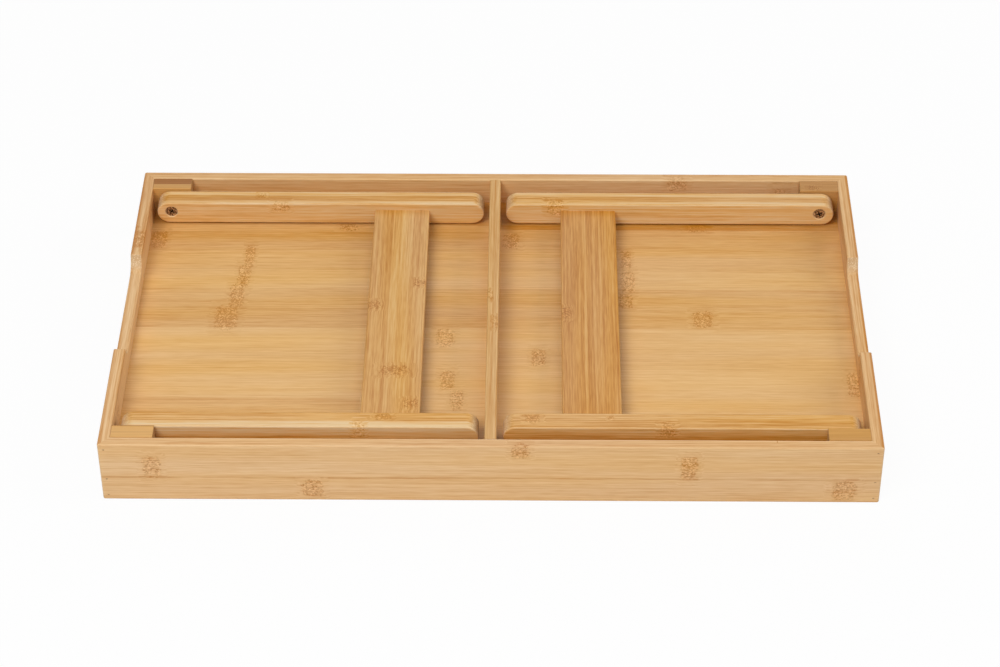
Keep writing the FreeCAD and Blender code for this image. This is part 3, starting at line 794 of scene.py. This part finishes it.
@dataclass
class TrayPanel:
    """The laminated panel, the bar across it and the four corner blocks."""

    panel_knots: tuple[Knot, ...] = (
        Knot(-245.5, 96.3, 28, 5.5, 9.7), Knot(-177.5, 76, 28, 3.6, 13),
        Knot(-180, 54, 28, 4.6, 13), Knot(-183.5, 32, 28, 5.2, 13),
        Knot(-189, 7, 28, 8, 13), Knot(-33.5, -14, 28, 6.5, 9.5),
        Knot(-31, -59, 28, 5, 10), Knot(-24, -80, 28, 4.5, 10), Knot(12, 96, 28, 6, 9),
        Knot(95, 74, 28, 4, 10), Knot(96, 49, 28, 5, 13), Knot(94, 27, 28, 5, 8),
        Knot(32, -35, 28, 5, 9), Knot(148, 7, 28, 7, 9), Knot(148, 111, 28, 8, 4),
        Knot(-107, 111, 28, 7, 4), Knot(249, -62, 28, 5, 12), Knot(-120, 40, 17.5, 5, 6),
        Knot(60, -70, 17.5, 5, 6), Knot(180, 50, 17.5, 5, 6), Knot(-30, 90, 17.5, 5, 6))
    # First the dark band across the middle, which differs a little to the left and the right.
    panel_strips: tuple[Strip, ...] = (
        Strip(0.22, x=LEFT_HALF, y=(-3.6, 18.2), z=UNDERSIDE),
        Strip(0.17, x=RIGHT_HALF, y=(-3.6, 18.2), z=UNDERSIDE),
        Strip(0.04, x=LEFT_HALF, y=(18.2, 106.0), z=UNDERSIDE),
        Strip(0.08, x=RIGHT_HALF, y=(18.2, 84.0), z=UNDERSIDE),
        Strip(-0.05, x=LEFT_HALF, y=(-FAR, -3.6), z=UNDERSIDE),
        Strip(-0.06, y=(-25.4, -3.6)),
        Strip(0.2, y=(84.0, FAR)),
        # Painted light: paler just in front of the far left leg, in its shade.
        Strip(-0.2, x=LEFT_HALF, y=(106.0, 114.0), z=UNDERSIDE),
        # Painted light: paler just in front of the far right leg.
        Strip(-0.15, x=RIGHT_HALF, y=(104.0, 109.0), z=UNDERSIDE),
        # Painted shadow: darker under and behind the far right leg.
        Strip(0.15, x=RIGHT_HALF, y=(109.0, FAR), z=UNDERSIDE),
        Strip(-0.06, x=RIGHT_HALF, y=(-FAR, -47.2), z=UNDERSIDE),
        Strip(0.13, x=(-FAR, -90.0), y=(-FAR, -77.5), z=UNDERSIDE),
        Strip(0.1, x=(-FAR, -90.0), y=(-82.5, -79.5), z=UNDERSIDE))
    divider_knots: tuple[Knot, ...] = (
        Knot(-2.6, 8, 49, 5, 2.2), Knot(1.5, -22, 49, 6, 2.2), Knot(0, 70, 36, 5, 6))
    block_palette: Palette = Palette("eec68e", "dca963", "a2682c", "b88850", "cda470")
    block_strips: tuple[Strip, ...] = (
        # A darker back strip, deepened with painted shade from the rail.
        Strip(0.46, x=LEFT_HALF, y=(135.4, FAR)),
        Strip(0.1, x=LEFT_HALF, y=(100.0, 135.4)),
        Strip(0.22, x=RIGHT_HALF, y=(100.0, FAR)),
        Strip(0.25, x=LEFT_HALF, y=(-131.2, -100.0)),
        Strip(-0.05, x=LEFT_HALF, y=(-FAR, -131.2)),
        Strip(0.1, x=RIGHT_HALF, y=(-FAR, -100.0)))

    def build(self) -> None:
        """Dress the panel, the bar and the blocks."""
        panel = LaminatedBamboo("bamboo_panel", joint_mm=(-3.6, 28.5), seed=5.0,
                                strip_mm=(21.8, 7.0), strip_contrast=0.14, fibres=PANEL_FIBRES,
                                knots=self.panel_knots, strips=self.panel_strips)
        dress("tray_panel", panel.build())
        divider = LaminatedBamboo("bamboo_divider", Grain.ALONG_Y, Palette(mid="d7a96a"),
                                  strip_mm=(4.4, 21.0), joint_mm=(0.0, 28.0), seed=6.0,
                                  fibres=LEG_FIBRES, knots=self.divider_knots)
        dress("centre_divider", divider.build())
        block = LaminatedBamboo("bamboo_block", palette=self.block_palette,
                                strip_mm=(6.8, 21.0), joint_mm=(135.4, 28.0),
                                seed=7.0, strip_contrast=0.06, fibres=BLOCK_FIBRES,
                                knot_tone=0.06, knot_speckle=0.14, knot_halo=0.0,
                                knots=(Knot(234, 134, 49, 4, 3),), strips=self.block_strips)
        material = block.build()
        for corner in corner_names():
            dress(f"{corner}_block", material)


@dataclass
class LegFrame:
    """Two legs and the flat board between them.

    Both legs share one material, so the strips of the near leg and those of the far one are
    told apart by their place.

    Attributes:
        side: The side of the tray.
        bar_strip_mm: Width of the crossbar's strips.
        bar_contrast: How much the crossbar's strips differ in tone.
        bar_palette: The crossbar's colours.
        bar_knots: The crossbar's knots.
        bar_strips: The crossbar's strips of known tone.
        leg_knots: The knots of both legs.
        near_leg_strips: Known strips of the near leg, with painted shade low on its side toward
            the rail.
        seed: Draws the strips' tones and moves the noise.
        far_leg_strips: Known strips of the far leg, with painted light on its face toward the
            middle.
    """

    side: Side
    bar_strip_mm: float
    bar_contrast: float
    bar_palette: Palette
    bar_knots: tuple[Knot, ...]
    bar_strips: tuple[Strip, ...]
    leg_knots: tuple[Knot, ...]
    near_leg_strips: tuple[Strip, ...]
    seed: float
    far_leg_strips: tuple[Strip, ...] = (
        Strip(-0.14, y=(124.0, FAR), z=(40.0, FAR)),
        Strip(0.3, y=(118.0, 124.0), z=(40.0, FAR)),
        Strip(-0.14, y=(114.8, 118.0), z=(40.0, FAR)),
        # Painted light: the face toward the middle paler.
        Strip(-0.14, y=(100.0, 114.7)))

    def build(self) -> None:
        """Dress the legs and the crossbar."""
        side = self.side.value
        leg = LaminatedBamboo(f"bamboo_{side}_leg", palette=Palette("e6c696", "e0ae69"),
                              strip_mm=(5.0, 20.0), joint_mm=(117.6, 28.0), seed=self.seed,
                              strip_contrast=0.1, fibres=LEG_FIBRES, knots=self.leg_knots,
                              strips=self.near_leg_strips + self.far_leg_strips)
        material = leg.build()
        for end in End:
            dress(f"{end.value}_{side}_leg", material)
        bar = LaminatedBamboo(f"bamboo_{side}_crossbar", Grain.ALONG_Y, self.bar_palette,
                              strip_mm=(self.bar_strip_mm, 7.0), joint_mm=(0.0, 35.0),
                              seed=self.seed + 1, strip_contrast=self.bar_contrast,
                              fibres=BAR_FIBRES, knots=self.bar_knots, strips=self.bar_strips)
        dress(f"{side}_crossbar", bar.build())


def left_legs() -> LegFrame:
    """Describe the left leg frame.

    Returns:
        The frame, not yet dressed.
    """
    return LegFrame(
        Side.LEFT, 4.5, 0.1, Palette("e4be80", "d6a25c", "b87830"),
        bar_knots=(Knot(-84, 5, 42, 4.5, 5), Knot(-52.5, 30, 42, 4, 4),
                   Knot(-66.6, -65, 42, 5, 10), Knot(-54.5, -99, 42, 4.5, 5)),
        bar_strips=(Strip(0.06, x=(-FAR, -75.0)),
                    Strip(0.16, x=(-75.0, -73.6)),
                    Strip(-0.1, x=(-73.6, -59.0))),
        leg_knots=(Knot(-171, 124, 47.5, 3, 3), Knot(-157, 114, 44, 6, 4),
                   Knot(-88, -128, 44, 4, 5), Knot(-72, -119, 47.5, 5, 3)),
        near_leg_strips=(Strip(0.14, y=(-123.3, -100.0)),
                         Strip(-0.33, y=(-FAR, -123.3)),
                         # Painted shade: darker towards the bottom on the side toward the rail.
                         Strip(0.16, y=SLOT_SIDE, z=(-FAR, 43.0)),
                         Strip(0.2, y=SLOT_SIDE, z=(-FAR, 40.5)),
                         Strip(0.2, y=SLOT_SIDE, z=(-FAR, 38.5))),
        seed=8.0)


def right_legs() -> LegFrame:
    """Describe the right leg frame.

    Returns:
        The frame, not yet dressed.
    """
    return LegFrame(
        Side.RIGHT, 2.2, 0.3, Palette("e2b472", "d2984e", "b27028"),
        bar_knots=(Knot(51, -3, 42, 6, 4),), bar_strips=(),
        leg_knots=(Knot(44, 114, 44, 6, 6), Knot(28, -120, 47.5, 5, 4),
                   Knot(118, -128, 44, 5, 5), Knot(80, -119, 47.5, 2, 2)),
        near_leg_strips=(Strip(0.08, y=(-121.5, -100.0)),
                         Strip(0.3, y=(-122.3, -121.5)),
                         Strip(0.2, y=(-128.6, -122.3)),
                         # Painted shade: darker towards the bottom on the side toward the rail.
                         Strip(0.12, y=SLOT_SIDE, z=(-FAR, 43.0)),
                         Strip(0.14, y=SLOT_SIDE, z=(-FAR, 40.5)),
                         Strip(0.14, y=SLOT_SIDE, z=(-FAR, 38.5))),
        seed=10.0)


@dataclass
class PivotHardware:
    """The screws that the legs turn on, and their washers."""

    head_face_mm: float = 114.6

    def build(self) -> None:
        """Dress the screws and the washers."""
        washer = MouldedNylon().build()
        screw = DrivenSteel("blackened_screw", "7c6658", "f2dcc8", 0.4,
                            face_mm=self.head_face_mm).build()
        for corner in corner_names():
            dress(f"{corner}_pivot_screw", screw)
            dress(f"{corner}_washer", washer)


@dataclass(frozen=True)
class Lamp:
    """A square soft lamp that points at the tray: where it stands, its side and its power."""

    name: str
    spot: Point
    size: float
    watts: float


@dataclass
class Studio:
    """White floor, soft lamps and the camera at the photograph's angle.

    eye, forward and up are the camera's place and axes, from a fit to the tray's corners.
    """

    eye: Point = (0.0250, -1.5180, 1.30085)
    forward: Point = (-0.01018, 0.76433, -0.64474)
    up: Point = (-0.00436, 0.64473, 0.76439)
    lens_mm: float = 101.19
    sensor_mm: float = 36.0
    floor_span: float = 8.0
    floor_white: float = 0.8
    floor_glow: float = 0.95
    floor_drop: float = 0.0002
    sky_strength: float = 0.065
    lamps: tuple[Lamp, ...] = (
        Lamp("left_key", (-0.9, -1.4, 2.0), 1.4, 43.0),
        Lamp("right_key", (0.9, -1.4, 2.0), 1.4, 8.0),
        Lamp("rear_key", (0.0, 1.8, 1.8), 1.6, 15.0),
        Lamp("left_fill", (-2.2, 0.0, 1.2), 1.4, 3.5),
        Lamp("right_fill", (2.2, 0.0, 1.2), 1.4, 23.0),
        Lamp("front_fill", (0.0, -2.6, 0.9), 1.6, 6.0))

    def floor(self) -> None:
        """A flat white floor that shows white to the camera and keeps a faint shadow."""
        half = self.floor_span / 2
        mesh = bpy.data.meshes.new("studio_floor")
        corners = [(-half, -half, 0), (half, -half, 0), (half, half, 0), (-half, half, 0)]
        mesh.from_pydata(corners, [], [(0, 1, 2, 3)])
        ground = bpy.data.objects.new("studio_floor", mesh)
        ground.location.z = -self.floor_drop
        bpy.context.scene.collection.objects.link(ground)
        material = empty_material("white_paper")
        tree = material.node_tree
        path = add_node(tree, "LightPath")
        seen = path.outputs["Is Camera Ray"]
        for other in ("Is Glossy Ray", "Is Transmission Ray"):
            seen = add_node(tree, "Math", {"operation": "MAXIMUM"}, {
                0: seen, 1: path.outputs[other]}).outputs[0]
        share = add_node(tree, "Math", {"operation": "MULTIPLY"}, {0: seen, 1: self.floor_glow})
        paper = add_node(tree, "BsdfDiffuse", {}, {"Color": (self.floor_white,) * 3 + (1.0,)})
        white = add_node(tree, "Emission", {}, {"Color": (1.0, 1.0, 1.0, 1.0), "Strength": 1.0})
        both = add_node(tree, "MixShader", {}, {
            0: share.outputs[0], 1: paper.outputs[0], 2: white.outputs[0]})
        add_node(tree, "OutputMaterial", {}, {"Surface": both.outputs[0]})
        ground.data.materials.append(material)

    def world(self) -> None:
        """A white surround that lights evenly from all sides."""
        world = bpy.data.worlds.new("studio")
        bpy.context.scene.world = world
        world.use_nodes = True
        tree = world.node_tree
        tree.nodes.clear()
        path = add_node(tree, "LightPath")
        strength = add_node(tree, "MapRange", {}, {
            "Value": path.outputs["Is Camera Ray"], "To Min": self.sky_strength,
            "To Max": 1.0})
        sky = add_node(tree, "Background", {}, {
            "Color": (1.0, 1.0, 1.0, 1.0), "Strength": strength.outputs[0]})
        add_node(tree, "OutputWorld", {}, {"Surface": sky.outputs[0]})

    def hang(self, lamp: Lamp) -> None:
        """Add a lamp.

        Args:
            lamp: The lamp's description.
        """
        light = bpy.data.lights.new(lamp.name, "AREA")
        light.shape = "SQUARE"
        light.size = lamp.size
        light.energy = lamp.watts
        holder = bpy.data.objects.new(lamp.name, light)
        bpy.context.scene.collection.objects.link(holder)
        holder.location = lamp.spot
        holder.rotation_mode = "QUATERNION"
        holder.rotation_quaternion = (-Vector(lamp.spot)).to_track_quat("-Z", "Y")

    def camera(self) -> None:
        """Set the camera where the photograph was taken from."""
        data = bpy.data.cameras.new("photo_camera")
        data.sensor_width = self.sensor_mm
        data.lens = self.lens_mm
        camera = bpy.data.objects.new("photo_camera", data)
        bpy.context.scene.collection.objects.link(camera)
        back = -Vector(self.forward)
        up = Vector(self.up)
        right = up.cross(back)
        turn = Matrix((right, up, back)).transposed().to_4x4()
        camera.matrix_world = Matrix.Translation(self.eye) @ turn
        bpy.context.scene.camera = camera

    def build(self) -> None:
        """Set the whole studio up."""
        self.floor()
        self.world()
        for lamp in self.lamps:
            self.hang(lamp)
        self.camera()
        bpy.context.scene.view_settings.view_transform = "Standard"


def main() -> None:
    """Build every part of the scene in order."""
    logging.basicConfig(level=logging.INFO, format="%(name)s: %(message)s")
    TrayFrame().build()
    TrayPanel().build()
    left_legs().build()
    right_legs().build()
    PivotHardware().build()
    Studio().build()


if __name__ == "__main__":
    main()
